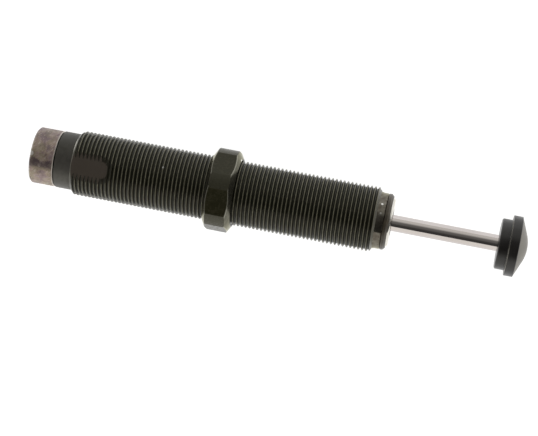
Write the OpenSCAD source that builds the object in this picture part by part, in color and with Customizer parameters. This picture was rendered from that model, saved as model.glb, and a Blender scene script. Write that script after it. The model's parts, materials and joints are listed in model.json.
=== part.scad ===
// Small hydraulic industrial shock absorber with a threaded body, a lock nut
// and a domed impact button. X runs along the axis towards the button, Z is up,
// and the origin lies on the axis at the front end of the mounting thread.

/* [Mounting thread] */
// Major diameter of the mounting thread
thread_d = 25; // [20:0.5:30]
// Pitch of the mounting thread
thread_pitch = 1.5; // [1:0.25:2]
// Length of the mounting thread, from its rear lead-in to its front end
thread_l = 117; // [105:1:150]
// Distance from the first full crest to the front end of the thread
thread_front_cone = 0.6; // [0.4:0.1:1.2]

/* [Housing] */
// Step in radius from the thread crests down to the smooth tail behind them
tail_step = 1.6; // [1:0.05:1.8]
// Length of the smooth tail behind the thread
tail_l = 6.3; // [4:0.1:12]
// Wall between the thread crests and the main bore, which holds the pressure tube
housing_wall = 2.5; // [2.2:0.1:3.5]
// Shoulder between the main bore and the front bore, which holds the foam and the gland
bore_shoulder = 1; // [0.6:0.1:1.4]
// Length of the front bore, measured back from the front end of the thread
front_bore_l = 21.6; // [19:0.1:26]
// Depth of the two wrench flats below the thread crests
flats_depth = 1.4; // [1.1:0.05:1.6]
// Length of the wrench flats, from the rear end of the thread to their round ends
flats_l = 14.5; // [8:0.1:18]
// Radius of the end mill that cuts the wrench flats
flats_cutter_r = 6.2; // [6:0.1:8]
// Angle of the wrench flats round the axis, from the flats of the lock nut, in degrees
flats_turn = 12; // [0:1:60]
// Step in radius from the thread crests down to the smooth neck ahead of them
neck_step = 1.8; // [1.2:0.05:2.2]
// Length of the neck, from the front end of the thread
neck_l = 3.1; // [2:0.1:6]
// Length of the cone from the thread crests down to the neck
neck_cone_l = 2; // [1.2:0.1:3]

/* [Rear plug] */
// Step in radius from the tail of the housing down to the plug's head
plug_step = 0.1; // [0:0.05:0.6]
// Length of the plug's head
plug_head_l = 9.5; // [5:0.1:12]
// Gap left between the plug's head and the housing
plug_gap = 0.3; // [0.1:0.05:0.6]
// Length of the plug's shank inside the housing
plug_shank_l = 14; // [12:0.1:18]
// Chamfer on the rear edge of the plug's head
plug_chamfer = 0.5; // [0.2:0.1:1]

/* [Fill screw] */
// Diameter of the fill screw
fill_screw_d = 6; // [5:0.5:7]
// Length of the fill screw
fill_screw_l = 6; // [5:0.5:7]
// Distance across the flats of the fill screw's socket
fill_socket_af = 3; // [2:0.5:3.5]
// Diameter of the oil passage ahead of the fill screw
fill_passage_d = 2.2; // [1.5:0.1:3]

/* [Pressure tube] */
// Radial gap for the oil between the pressure tube and the housing
oil_gap = 1; // [0.7:0.1:1.3]
// Wall of the pressure tube
tube_wall = 2; // [1.5:0.1:2.2]
// Number of metering orifices
orifice_count = 6; // [3:1:9]
// Diameter of each metering orifice
orifice_d = 1.2; // [0.8:0.1:1.6]
// Angle between one orifice and the next, round the tube
orifice_turn = 150; // [60:5:180]

/* [Piston and rod] */
// Working stroke
stroke = 40; // [25:1:44]
// Diameter of the piston rod
rod_d = 6.3; // [5.4:0.1:6.6]
// Gap left between the button and the gland at full stroke
end_gap = 0.4; // [0.2:0.1:2]
// Length of the piston
piston_l = 10; // [9:0.5:14]
// Width of the piston's ring groove
ring_groove_w = 3; // [2.6:0.1:4]
// Depth of the piston's ring groove
ring_groove_depth = 1.5; // [1.2:0.1:1.8]
// Axial float of the piston ring in its groove
ring_float = 0.8; // [0.3:0.1:1.2]
// Number of return passages through the front land of the piston
return_hole_count = 6; // [3:1:8]
// Diameter of each return passage
return_hole_d = 1.4; // [1:0.1:1.6]
// Diameter of the threaded stub that carries the piston
stub_d = 3.5; // [3:0.1:4]
// Distance across the flats of the piston nut
piston_nut_af = 6; // [5.5:0.1:7]
// Length of the piston nut
piston_nut_l = 2.8; // [2.4:0.1:4]

/* [Return spring] */
// Wire diameter of the return spring
wire_d = 1.2; // [0.9:0.1:1.4]
// Number of turns in the return spring
spring_turns = 12.5; // [9:0.5:13]
// Radial gap between the return spring and the bore of the pressure tube
spring_gap = 0.6; // [0.4:0.1:1]
// Thickness of the spring seat
seat_l = 1.5; // [1:0.1:2.5]

/* [Rod guide] */
// Length of the rod guide between its two seats
guide_l = 11; // [9:0.5:14]
// Length of the spigot on the guide and on the plug, inside the pressure tube
spigot_l = 3; // [2:0.1:4]
// Width of each oil slot along the guide
guide_slot_w = 2; // [1.4:0.1:3]
// Number of oil slots along the guide
guide_slot_count = 4; // [3:1:6]
// Outer diameter of the dry bush in the guide
bush_d = 8; // [7.6:0.1:9]

/* [Gland] */
// Gap left between the gland's collar and the housing's neck
collar_gap = 0.05; // [0:0.01:0.2]
// Length of the collar, with its chamfer
collar_l = 1.9; // [1.2:0.05:4]
// Chamfer on the front edge of the collar
collar_chamfer = 0.8; // [0.3:0.05:1]
// Step in radius from the collar down to the boss on its front face
boss_step = 1.5; // [1:0.05:2.5]
// Height of the boss on the front face
boss_h = 0.8; // [0.6:0.1:2]
// Length of the gland's shank inside the housing
gland_shank_l = 10.6; // [9.8:0.1:12]
// Outer diameter of the rod seal
rod_seal_d = 11; // [10.4:0.1:11.4]
// Length of the rod seal
rod_seal_l = 4.4; // [3.6:0.1:4.6]
// Outer diameter of the wiper
wiper_d = 10.4; // [9.6:0.1:11]
// Length of the wiper
wiper_l = 3.8; // [3:0.1:4.2]

/* [Static seals] */
// Thickness of the O-rings
o_ring_w = 1.4; // [1:0.1:1.6]

/* [Lock nut] */
// Wall of the lock nut between the thread crests and its flats
nut_wall = 2.5; // [1.8:0.1:4]
// Depth of the flats below the turned outside of the lock nut
nut_flat_depth = 0.9; // [0.4:0.05:1.2]
// Length of the lock nut
nut_l = 10.9; // [8:0.1:14]
// Depth in radius of the chamfers on both ends of the lock nut
nut_chamfer = 2.75; // [1.5:0.05:3]
// Angle of these chamfers from the end faces, in degrees
nut_chamfer_angle = 31; // [15:1:40]
// Distance from the front end of the thread back to the nut's front face
nut_setback = 53.8; // [30:0.1:60]

/* [Button] */
// Diameter of the button's head
head_d = 22.9; // [20:0.1:23.8]
// Length of the rim of the button's head
head_l = 3.4; // [2:0.1:6]
// Diameter of the button's rear collar
hub_d = 19.2; // [14:0.1:19.5]
// Length of the button's rear collar
hub_l = 3.6; // [2:0.1:6]
// Width of the relief between the collar and the head
relief_w = 0.4; // [0.3:0.1:1]
// Slope of the conical crown, in degrees
crown_slope = 23; // [12:1:30]
// Radius of the crown's rounded nose
nose_r = 14; // [12:0.5:20]
// Length of the rod's stud inside the button
stud_l = 6.5; // [4:0.1:7.5]

/* [Hidden] */
// Radial clearance of a sliding fit
slide_fit = 0.03;
// Radial clearance of a piece that is fixed in its seat
seat_fit = 0.03;
// Radial clearance of the lock nut over the thread crests
thread_fit = 0.05;
// Axial gap left where one piece stops against another
stop_gap = 0.3;
// Small edge break on turned pieces
edge = 0.3;

// Diameters outside and inside the housing, which all follow the thread
thread_r = thread_d / 2;
tail_d = thread_d - 2 * tail_step;
plug_d = tail_d - 2 * plug_step;
flats_across = thread_d - 2 * flats_depth;
neck_d = thread_d - 2 * neck_step;
boss_d = neck_d - 2 * boss_step;
nut_af = thread_d + 2 * nut_wall;
nut_d = nut_af + 2 * nut_flat_depth;
main_bore_d = thread_d - 2 * housing_wall;
front_bore_d = main_bore_d - 2 * bore_shoulder;
tube_d = main_bore_d - 2 * oil_gap;
tube_bore_d = tube_d - 2 * tube_wall;
spring_d = tube_bore_d - 2 * spring_gap;

// Depth, crest width and flank width of a 60 degree thread of this pitch
thread_depth = 0.6134 * thread_pitch;
crest_w = thread_pitch / 8;
flank_w = thread_depth * tan(30);
// Length of the cone from the tail up to the first crest
lead_in = tail_step;
groove_count = floor((thread_l - lead_in - thread_front_cone) / thread_pitch);

// Stations along the axis, from the rear to the front
x_thread_rear = -thread_l;
x_tail = x_thread_rear - tail_l;
x_plug_head = x_tail - plug_gap;
x_plug_rear = x_plug_head - plug_head_l;
x_plug_front = x_plug_head + plug_shank_l;
x_spring_seat = x_plug_front + spigot_l;
x_spring_rear = x_spring_seat + seat_l;
x_guide_front = -front_bore_l;
x_tube_front = x_guide_front - guide_l;
x_guide_rear = x_tube_front - spigot_l;
x_piston_front = x_guide_rear - stop_gap;
x_piston_rear = x_piston_front - piston_l;
x_gland_rear = -gland_shank_l;
x_collar = neck_l + collar_gap;
x_front_face = x_collar + collar_l;
x_boss = x_front_face + boss_h;
x_button = x_boss + end_gap + stroke;
x_nut_front = -nut_setback;
x_nut_rear = x_nut_front - nut_l;

main_bore_r = main_bore_d / 2;
front_bore_r = front_bore_d / 2;
tube_bore_r = tube_bore_d / 2;
rod_r = rod_d / 2;
stub_r = stub_d / 2;
spigot_r = tube_bore_r - seat_fit;
// Radius of the pocket that holds the rod seal, and of the one for the wiper
seal_pocket_r = rod_seal_d / 2 + seat_fit;
wiper_pocket_r = wiper_d / 2 + seat_fit;
// Groove that holds an O-ring with the same clearance all round
o_groove_w = o_ring_w + 4 * seat_fit;
o_groove_depth = o_ring_w + seat_fit;
// Place of the plug's O-ring and of the gland's, at the middle of their grooves
x_plug_o_ring = x_plug_front - 3;
x_gland_o_ring = -3;
x_seal_front = x_gland_rear + rod_seal_l + stop_gap;
x_wiper_rear = x_boss - wiper_l;

// Rear face of the ring groove in the piston, and the ring's own sizes
x_ring_groove = x_piston_rear + (piston_l - ring_groove_w) / 2;
ring_w = ring_groove_w - ring_float - 2 * slide_fit;
ring_floor_r = tube_bore_r - ring_groove_depth;
ring_outer_r = tube_bore_r - slide_fit;
ring_inner_r = ring_floor_r + 0.3;
return_hole_ring_r = ring_floor_r - 0.1;

// Mean radius of the return spring and the length it is fitted at
coil_r = (spring_d - wire_d) / 2;
spring_l = x_piston_rear - x_spring_rear;
closed_turns = 1;
closed_pitch = wire_d * 1.04;
open_pitch = (spring_l - wire_d - 0.1 - 2 * closed_turns * closed_pitch)
    / (spring_turns - 2 * closed_turns);
spring_steps_per_turn = 20;
wire_sides = 8;

$fn = 96;

// Solid of revolution about X, from points given as [radius, x]
module turned(profile) {
    rotate([0, 90, 0]) rotate_extrude() polygon(profile);
}

// Straight round bar or hole along X
module bar(r, from, to) {
    translate([from, 0, 0]) rotate([0, 90, 0]) cylinder(r = r, h = to - from);
}

// Hexagonal bar along X with two faces level, and a given distance across them
module hex_bar(across, from, to) {
    translate([from, 0, 0]) rotate([0, 90, 0]) rotate([0, 0, 30])
        cylinder(d = across / cos(30), h = to - from, $fn = 6);
}

// Ring of round section about X
module o_ring(centre_r, x) {
    translate([x, 0, 0]) rotate([0, 90, 0]) rotate_extrude()
        translate([centre_r, 0]) circle(d = o_ring_w);
}

// The four corners of one thread groove, counted from the rear
function groove(i) =
    let (x = x_thread_rear + lead_in + crest_w + i * thread_pitch,
         root_r = thread_r - thread_depth,
         root_w = thread_pitch - crest_w - 2 * flank_w)
    [[thread_r, x], [root_r, x + flank_w], [root_r, x + flank_w + root_w],
     [thread_r, x + 2 * flank_w + root_w]];

// What the end mill takes off for one wrench flat, with the round end it leaves
module wrench_flat() {
    height = thread_d - flats_across;
    translate([x_thread_rear, 0, flats_across / 2]) linear_extrude(height) union() {
        translate([flats_l - flats_cutter_r, 0]) circle(flats_cutter_r);
        translate([-1, -flats_cutter_r]) square([flats_l - flats_cutter_r + 1, 2 * flats_cutter_r]);
    }
}

module outer_body() {
    grooves = [for (i = [0 : groove_count - 1]) each groove(i)];
    outline = concat(
        [[main_bore_r, x_tail], [tail_d / 2 - edge, x_tail], [tail_d / 2, x_tail + edge],
         [tail_d / 2, x_thread_rear], [thread_r, x_thread_rear + lead_in]],
        grooves,
        [[thread_r, -thread_front_cone], [neck_d / 2, neck_cone_l - thread_front_cone],
         [neck_d / 2, neck_l], [front_bore_r, neck_l],
         [front_bore_r, x_guide_front], [main_bore_r, x_guide_front]]);
    color([0.16, 0.16, 0.13]) difference() {
        turned(outline);
        for (side = [0, 1]) rotate([180 * side - flats_turn, 0, 0]) wrench_flat();
    }
}

module rear_plug() {
    head_r = plug_d / 2;
    shank_r = main_bore_r - seat_fit;
    floor_r = main_bore_r - seat_fit - o_groove_depth;
    x_well = x_plug_rear + fill_screw_l + stop_gap;
    color([0.5, 0.44, 0.4]) difference() {
        turned([
            [0, x_plug_rear], [head_r - plug_chamfer, x_plug_rear],
            [head_r, x_plug_rear + plug_chamfer], [head_r, x_plug_head - edge],
            [head_r - edge, x_plug_head], [shank_r, x_plug_head],
            [shank_r, x_plug_o_ring - o_groove_w / 2], [floor_r, x_plug_o_ring - o_groove_w / 2],
            [floor_r, x_plug_o_ring + o_groove_w / 2], [shank_r, x_plug_o_ring + o_groove_w / 2],
            [shank_r, x_plug_front], [spigot_r, x_plug_front],
            [spigot_r, x_spring_seat], [0, x_spring_seat]]);
        bar(fill_screw_d / 2 + seat_fit, x_plug_rear - 1, x_well + o_ring_w);
        bar(fill_passage_d / 2, x_plug_rear, x_spring_seat + 1);
    }
}

module plug_o_ring() {
    color([0.08, 0.08, 0.08]) o_ring(main_bore_r - seat_fit - o_ring_w / 2, x_plug_o_ring);
}

module fill_screw() {
    x_rear = x_plug_rear + edge;
    x_front = x_rear + fill_screw_l - edge;
    r = fill_screw_d / 2;
    color([0.3, 0.3, 0.3]) difference() {
        turned([[0, x_rear], [r - edge, x_rear], [r, x_rear + edge],
                [r, x_front - edge], [r - edge, x_front], [0, x_front]]);
        hex_bar(fill_socket_af, x_rear - 1, x_rear + fill_screw_l / 2);
    }
}

// Soft ring squeezed under the fill screw
module fill_seal() {
    x_rear = x_plug_rear + fill_screw_l + seat_fit;
    color([0.08, 0.08, 0.08]) difference() {
        bar(fill_screw_d / 2, x_rear, x_rear + stop_gap + o_ring_w - 2 * seat_fit);
        bar(fill_passage_d / 2 + seat_fit, x_rear - 1, x_rear + stop_gap + o_ring_w);
    }
}

// Travel at which the piston closes an orifice. With equal orifices the open
// area then falls with the square root of the stroke that is left, which slows
// the load evenly.
function closing_travel(i) =
    stroke * (1 - pow((orifice_count - i - 0.5) / orifice_count, 2));

module pressure_tube() {
    color([0.7, 0.7, 0.72]) difference() {
        bar(tube_d / 2, x_plug_front, x_tube_front);
        bar(tube_bore_r, x_plug_front - 1, x_tube_front + 1);
        for (i = [0 : orifice_count - 1])
            translate([x_piston_rear - closing_travel(i), 0, 0])
                rotate([i * orifice_turn, 0, 0]) cylinder(d = orifice_d, h = tube_d);
    }
}

module spring_seat() {
    color([0.6, 0.6, 0.6]) difference() {
        bar(spigot_r, x_spring_seat, x_spring_rear);
        bar(fill_passage_d / 2, x_spring_seat - 1, x_spring_rear + 1);
    }
}

// Height of the spring's wire above its rear end after a number of turns
function coil_rise(turns) =
    let (rear = min(turns, closed_turns),
         front = max(0, turns - (spring_turns - closed_turns)),
         open = turns - rear - front)
    wire_d / 2 + 0.05 + (rear + front) * closed_pitch + open * open_pitch;

module return_spring() {
    steps = round(spring_turns * spring_steps_per_turn);
    points = [for (i = [0 : steps], j = [0 : wire_sides - 1])
        let (turns = i / spring_steps_per_turn,
             a = 360 * turns,
             b = 360 * j / wire_sides,
             r = coil_r + wire_d / 2 * cos(b))
        [x_spring_rear + coil_rise(turns) + wire_d / 2 * sin(b), r * cos(a), r * sin(a)]];
    rear_end = [for (j = [0 : wire_sides - 1]) wire_sides - 1 - j];
    front_end = [for (j = [0 : wire_sides - 1]) steps * wire_sides + j];
    sides = [for (i = [0 : steps - 1], j = [0 : wire_sides - 1])
        let (k = (j + 1) % wire_sides)
        [i * wire_sides + j, i * wire_sides + k, (i + 1) * wire_sides + k,
         (i + 1) * wire_sides + j]];
    color([0.55, 0.55, 0.55]) polyhedron(points, concat([rear_end], sides, [front_end]));
}

module rod_guide() {
    r = main_bore_r - seat_fit;
    slot_floor_r = tube_bore_r + 0.5;
    color([0.75, 0.65, 0.4]) difference() {
        turned([
            [bush_d / 2 + seat_fit, x_guide_rear], [spigot_r, x_guide_rear],
            [spigot_r, x_tube_front], [r, x_tube_front], [r, x_guide_front],
            [bush_d / 2 + seat_fit, x_guide_front]]);
        for (i = [0 : guide_slot_count - 1]) rotate([360 * i / guide_slot_count, 0, 0])
            translate([x_tube_front - 1, -guide_slot_w / 2, slot_floor_r])
                cube([guide_l + 2, guide_slot_w, main_bore_d]);
    }
}

module guide_bush() {
    color([0.5, 0.36, 0.2]) difference() {
        bar(bush_d / 2, x_guide_rear, x_guide_front);
        bar(rod_r + slide_fit, x_guide_rear - 1, x_guide_front + 1);
    }
}

// Closed-cell foam that gives way to the oil which the rod pushes aside
module accumulator_foam() {
    color([0.35, 0.35, 0.37]) difference() {
        bar(front_bore_r - 0.2, x_guide_front + stop_gap, x_gland_rear - stop_gap);
        bar(rod_r + 0.6, x_guide_front, x_gland_rear);
    }
}

module gland() {
    shank_r = front_bore_r - seat_fit;
    floor_r = shank_r - o_groove_depth;
    collar_r = neck_d / 2;
    boss_r = boss_d / 2;
    dome = boss_h / 2;
    color([0.25, 0.22, 0.19]) turned([
        [seal_pocket_r, x_gland_rear], [shank_r - edge, x_gland_rear],
        [shank_r, x_gland_rear + edge], [shank_r, x_gland_o_ring - o_groove_w / 2],
        [floor_r, x_gland_o_ring - o_groove_w / 2], [floor_r, x_gland_o_ring + o_groove_w / 2],
        [shank_r, x_gland_o_ring + o_groove_w / 2], [shank_r, x_collar],
        [collar_r, x_collar], [collar_r, x_front_face - collar_chamfer],
        [collar_r - collar_chamfer, x_front_face], [boss_r, x_front_face],
        [boss_r, x_front_face + dome], [boss_r - 2 * dome, x_boss],
        [wiper_pocket_r, x_boss], [wiper_pocket_r, x_wiper_rear],
        [rod_r + 0.15, x_wiper_rear], [rod_r + 0.15, x_seal_front],
        [seal_pocket_r, x_seal_front]]);
}

module gland_o_ring() {
    color([0.08, 0.08, 0.08]) o_ring(front_bore_r - seat_fit - o_ring_w / 2, x_gland_o_ring);
}

// U-cup seal, with its lips towards the oil
module rod_seal() {
    r = rod_seal_d / 2;
    inner = rod_r + slide_fit;
    x_front = x_gland_rear + rod_seal_l;
    middle = (r + inner) / 2;
    lip = (r - inner) / 4;
    color([0.1, 0.25, 0.45]) turned([
        [inner, x_gland_rear], [inner + lip / 2, x_gland_rear],
        [middle - lip / 3, x_gland_rear + rod_seal_l * 0.55],
        [middle + lip / 3, x_gland_rear + rod_seal_l * 0.55],
        [r - lip / 2, x_gland_rear], [r, x_gland_rear], [r, x_front], [inner, x_front]]);
}

// Wiper with a lip that scrapes the rod clean as it goes in
module wiper() {
    r = wiper_d / 2;
    inner = rod_r + slide_fit;
    x_shoulder = x_boss - wiper_l / 3;
    color([0.1, 0.1, 0.1]) turned([
        [rod_r + 0.5, x_wiper_rear], [r, x_wiper_rear], [r, x_shoulder],
        [(r + inner) / 2, x_shoulder], [inner + 0.3, x_boss], [inner, x_boss],
        [inner, x_boss - 1], [rod_r + 0.5, x_boss - 2]]);
}

module piston_rod() {
    x_stub = x_piston_rear - piston_nut_l - 1;
    x_tip = x_button + stud_l;
    stud_r = rod_r * 0.8;
    color([0.82, 0.8, 0.79]) turned([
        [0, x_stub], [stub_r - edge, x_stub], [stub_r, x_stub + edge],
        [stub_r, x_piston_front], [rod_r, x_piston_front], [rod_r, x_button],
        [stud_r, x_button], [stud_r, x_tip - edge], [stud_r - edge, x_tip], [0, x_tip]]);
}

module piston() {
    r = tube_bore_r - slide_fit - 0.01;
    bore_r = stub_r + seat_fit;
    x_groove_front = x_ring_groove + ring_groove_w;
    color([0.6, 0.6, 0.62]) difference() {
        turned([
            [bore_r, x_piston_rear], [r - edge, x_piston_rear], [r, x_piston_rear + edge],
            [r, x_ring_groove], [ring_floor_r, x_ring_groove],
            [ring_floor_r, x_groove_front], [r, x_groove_front],
            [r, x_piston_front - edge], [r - edge, x_piston_front], [bore_r, x_piston_front]]);
        for (i = [0 : return_hole_count - 1]) rotate([360 * i / return_hole_count, 0, 0])
            translate([0, 0, return_hole_ring_r])
                bar(return_hole_d / 2, x_groove_front - ring_groove_w / 2, x_piston_front + 1);
    }
}

// Floating ring: it seals as the piston is driven in and lets oil past as it returns
module piston_ring() {
    x_rear = x_ring_groove + slide_fit;
    color([0.35, 0.3, 0.28]) turned([
        [ring_inner_r, x_rear], [ring_outer_r, x_rear],
        [ring_outer_r, x_rear + ring_w], [ring_inner_r, x_rear + ring_w]]);
}

module piston_nut() {
    x_rear = x_piston_rear - piston_nut_l;
    color([0.6, 0.6, 0.6]) difference() {
        hex_bar(piston_nut_af, x_rear, x_piston_rear);
        bar(stub_r + seat_fit, x_rear - 1, x_piston_rear + 1);
    }
}

module button() {
    head_r = head_d / 2;
    hub_r = hub_d / 2;
    hub_chamfer = 0.7;
    x_relief = x_button + hub_l;
    x_head = x_relief + relief_w;
    x_crown = x_head + head_l;
    // The cone meets the nose where the two share a slope
    nose_edge_r = nose_r * sin(crown_slope);
    x_nose_edge = x_crown + (head_r - 0.1 - nose_edge_r) * tan(crown_slope);
    nose_steps = 12;
    nose = [for (i = [0 : nose_steps]) let (a = crown_slope * (1 - i / nose_steps))
        [nose_r * sin(a), x_nose_edge + nose_r * (cos(a) - cos(crown_slope))]];
    color([0.2, 0.19, 0.18]) difference() {
        turned(concat(
            [[0, x_button], [hub_r - hub_chamfer, x_button], [hub_r, x_button + hub_chamfer],
             [hub_r, x_relief], [hub_r - relief_w, x_relief], [hub_r - relief_w, x_head],
             [head_r - 0.1, x_head], [head_r, x_head + 0.1], [head_r, x_crown - 0.1],
             [head_r - 0.1, x_crown]],
            nose));
        bar(rod_r * 0.8 + seat_fit, x_button - 1, x_button + stud_l + stop_gap);
    }
}

// Turned nut with six milled flats, which leave strips of its round outside between them
module lock_nut() {
    r = nut_d / 2;
    face_r = r - nut_chamfer;
    chamfer_l = nut_chamfer * tan(nut_chamfer_angle);
    bore_r = thread_r + thread_fit;
    color([0.18, 0.18, 0.15]) intersection() {
        turned([
            [bore_r + edge, x_nut_rear], [face_r, x_nut_rear], [r, x_nut_rear + chamfer_l],
            [r, x_nut_front - chamfer_l], [face_r, x_nut_front], [bore_r + edge, x_nut_front],
            [bore_r, x_nut_front - edge], [bore_r, x_nut_rear + edge]]);
        hex_bar(nut_af, x_nut_rear - 1, x_nut_front + 1);
    }
}

outer_body();
rear_plug();
plug_o_ring();
fill_screw();
fill_seal();
pressure_tube();
spring_seat();
return_spring();
rod_guide();
guide_bush();
accumulator_foam();
gland();
gland_o_ring();
rod_seal();
wiper();
piston_rod();
piston();
piston_ring();
piston_nut();
button();
lock_nut();
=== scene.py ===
"""Small industrial shock absorber: meshes, finishes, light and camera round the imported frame."""

import json
import logging
import math
from dataclasses import dataclass
from enum import Enum
from typing import Any, Callable, Sequence

import bmesh
import bpy
from mathutils import Matrix, Vector


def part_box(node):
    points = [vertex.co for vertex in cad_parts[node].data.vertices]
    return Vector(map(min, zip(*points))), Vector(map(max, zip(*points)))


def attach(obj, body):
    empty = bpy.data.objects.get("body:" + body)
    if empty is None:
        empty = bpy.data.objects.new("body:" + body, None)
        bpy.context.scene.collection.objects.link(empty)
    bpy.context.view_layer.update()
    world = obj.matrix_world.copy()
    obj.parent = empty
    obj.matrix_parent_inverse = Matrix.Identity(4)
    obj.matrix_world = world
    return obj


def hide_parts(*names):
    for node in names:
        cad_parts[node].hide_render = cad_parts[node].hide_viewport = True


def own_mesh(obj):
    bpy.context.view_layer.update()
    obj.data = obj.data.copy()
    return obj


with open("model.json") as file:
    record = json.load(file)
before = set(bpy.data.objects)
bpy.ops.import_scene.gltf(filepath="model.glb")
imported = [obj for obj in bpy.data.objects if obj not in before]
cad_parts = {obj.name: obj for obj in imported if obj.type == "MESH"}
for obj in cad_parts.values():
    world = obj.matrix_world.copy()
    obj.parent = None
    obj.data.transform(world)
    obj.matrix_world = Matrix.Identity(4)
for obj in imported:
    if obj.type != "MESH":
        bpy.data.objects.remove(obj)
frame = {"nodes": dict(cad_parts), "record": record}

MM = 0.001
HAIR = 0.03 * MM  # the finest gap between pieces, and the width of a sharp border in a finish
SKIN = 0.02 * MM  # how far off a face a finish still counts as on it
OVER = 1.0 * MM  # how far a cutting solid reaches past what it cuts
HEX_CORNER = 1 / math.cos(math.radians(30))  # a hexagon's corner, for a flat at a distance of 1
LOG = logging.getLogger("shock_absorber")
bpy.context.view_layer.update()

Pair = tuple[float, float]
Profile = list[Pair]
Place = tuple[float, float, float]
Colour = tuple[float, float, float]
Piece = bpy.types.Object
Material = bpy.types.Material


class Body(Enum):
    """The bodies that pieces ride on."""

    HOUSING = "housing"
    ROD = "rod"
    NUT = "nut"


class Cut(Enum):
    """What a solid does to another one."""

    TAKE_OFF = "DIFFERENCE"
    KEEP_WITHIN = "INTERSECT"
    JOIN = "UNION"


# ---- Node trees ----


def maths(operation: str, swapped: bool = False) -> Callable[..., "Signal"]:
    """Makes a method of Signal that adds one Math node.

    Args:
        operation: what the node works out.
        swapped: whether the signal comes last, as in a reflected operator.

    Returns:
        The method.
    """

    def add_node(signal: "Signal", *others: Any) -> "Signal":
        """Adds the node, which works on the signal and the other values."""
        values = (*others, signal) if swapped else (signal, *others)
        return signal.tree.node(
            "ShaderNodeMath", {"operation": operation}, dict(enumerate(values)))

    return add_node


class Signal:
    """A value in a node tree, on which Python's operators add Math nodes."""

    def __init__(self, tree: "Tree", socket: bpy.types.NodeSocket | None) -> None:
        """Wraps one output socket of a tree."""
        self.tree = tree
        self.socket = socket

    __add__ = __radd__ = maths("ADD")
    __sub__ = maths("SUBTRACT")
    __rsub__ = maths("SUBTRACT", swapped=True)
    __mul__ = __rmul__ = maths("MULTIPLY")
    __truediv__ = maths("DIVIDE")
    __pow__ = maths("POWER")
    __gt__ = maths("GREATER_THAN")
    __lt__ = maths("LESS_THAN")
    smallest = maths("MINIMUM")
    largest = maths("MAXIMUM")
    rounded = maths("ROUND")
    sine = maths("SINE")
    cosine = maths("COSINE")
    absolute = maths("ABSOLUTE")
    arctan2 = maths("ARCTAN2")
    fold = maths("PINGPONG")

    def __neg__(self) -> "Signal":
        """Opposite."""
        return self * -1.0

    def between(self, low: Any, high: Any) -> "Signal":
        """One between two values, otherwise nought."""
        return (self > low) * (self < high)

    def ramp(self, low: float, high: float) -> "Signal":
        """Rises smoothly from nought at low to one at high."""
        return self.tree.node(
            "ShaderNodeMapRange", {"interpolation_type": "SMOOTHSTEP"},
            {"Value": self, "From Min": low, "From Max": high})

    def window(self, rise: Sequence[float], fall: Sequence[float]) -> "Signal":
        """One between a rising and a falling ramp, otherwise nought."""
        return self.ramp(*rise) * (1.0 - self.ramp(*fall))


class Tree:
    """A node tree under construction."""

    def __init__(self, tree: bpy.types.NodeTree) -> None:
        """Takes an empty tree."""
        self.tree = tree

    @classmethod
    def of(cls, owner: Material | bpy.types.World) -> "Tree":
        """Empties the tree of a material or a world.

        Args:
            owner: the material or the world.

        Returns:
            Its tree.
        """
        owner.use_nodes = True
        owner.node_tree.nodes.clear()
        return cls(owner.node_tree)

    def node(self, kind: str, settings: dict[str, Any] | None = None,
             inputs: dict[Any, Any] | None = None, output: Any = 0) -> Signal:
        """Adds a node.

        Args:
            kind: the node's type.
            settings: properties, set before the sockets are filled.
            inputs: a value or a signal for each socket, by its name or number.
            output: the output to return, by its name or number.

        Returns:
            The chosen output as a signal.
        """
        made = self.tree.nodes.new(kind)
        for name, value in (settings or {}).items():
            setattr(made, name, value)
        for name, value in (inputs or {}).items():
            socket = made.inputs[name]
            if isinstance(value, Signal):
                self.tree.links.new(value.socket, socket)
            else:
                socket.default_value = (*value, 1.0) if socket.type == "RGBA" else value
        return Signal(self, made.outputs[output] if made.outputs else None)

    def mix(self, share: Any, low: Any, high: Any) -> Signal:
        """Mixes two colours, from low at nought to high at one."""
        return self.node("ShaderNodeMix", {"data_type": "RGBA"}, {0: share, 6: low, 7: high}, 2)

    def lay(self, colour: Any, *coats: tuple[Any, Any]) -> Signal:
        """Lays coats of colour over a first colour.

        Args:
            colour: the first colour.
            coats: the share and the colour of each coat, in order.

        Returns:
            The colour that shows.
        """
        for share, coat in coats:
            colour = self.mix(share, colour, coat)
        return colour

    def vector(self, x: Any, y: Any, z: Any) -> Signal:
        """Joins three numbers to a vector."""
        return self.node("ShaderNodeCombineXYZ", {}, {"X": x, "Y": y, "Z": z})

    def parts(self, vector: Signal) -> tuple[Signal, Signal, Signal]:
        """The three numbers of a vector."""
        node = self.node("ShaderNodeSeparateXYZ", {}, {0: vector}).socket.node
        return tuple(Signal(self, node.outputs[axis]) for axis in range(3))

    def measure(self, operation: str, one: Signal, other: Sequence[float]) -> Signal:
        """A number that a Vector Math node works out from two vectors."""
        return self.node("ShaderNodeVectorMath", {"operation": operation}, {0: one, 1: other},
                         "Value")

    def noise(self, place: Signal, size: float, detail: float = 2.0,
              rough: float = 0.5) -> Signal:
        """Clouds from nought to one.

        Args:
            place: the place in space.
            size: size of the clouds in metres.
            detail: number of finer layers.
            rough: strength of the finer layers.

        Returns:
            The clouds' strength.
        """
        return self.node("ShaderNodeTexNoise", {}, {
            "Vector": place, "Scale": 1.0 / size, "Detail": detail, "Roughness": rough})


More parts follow.
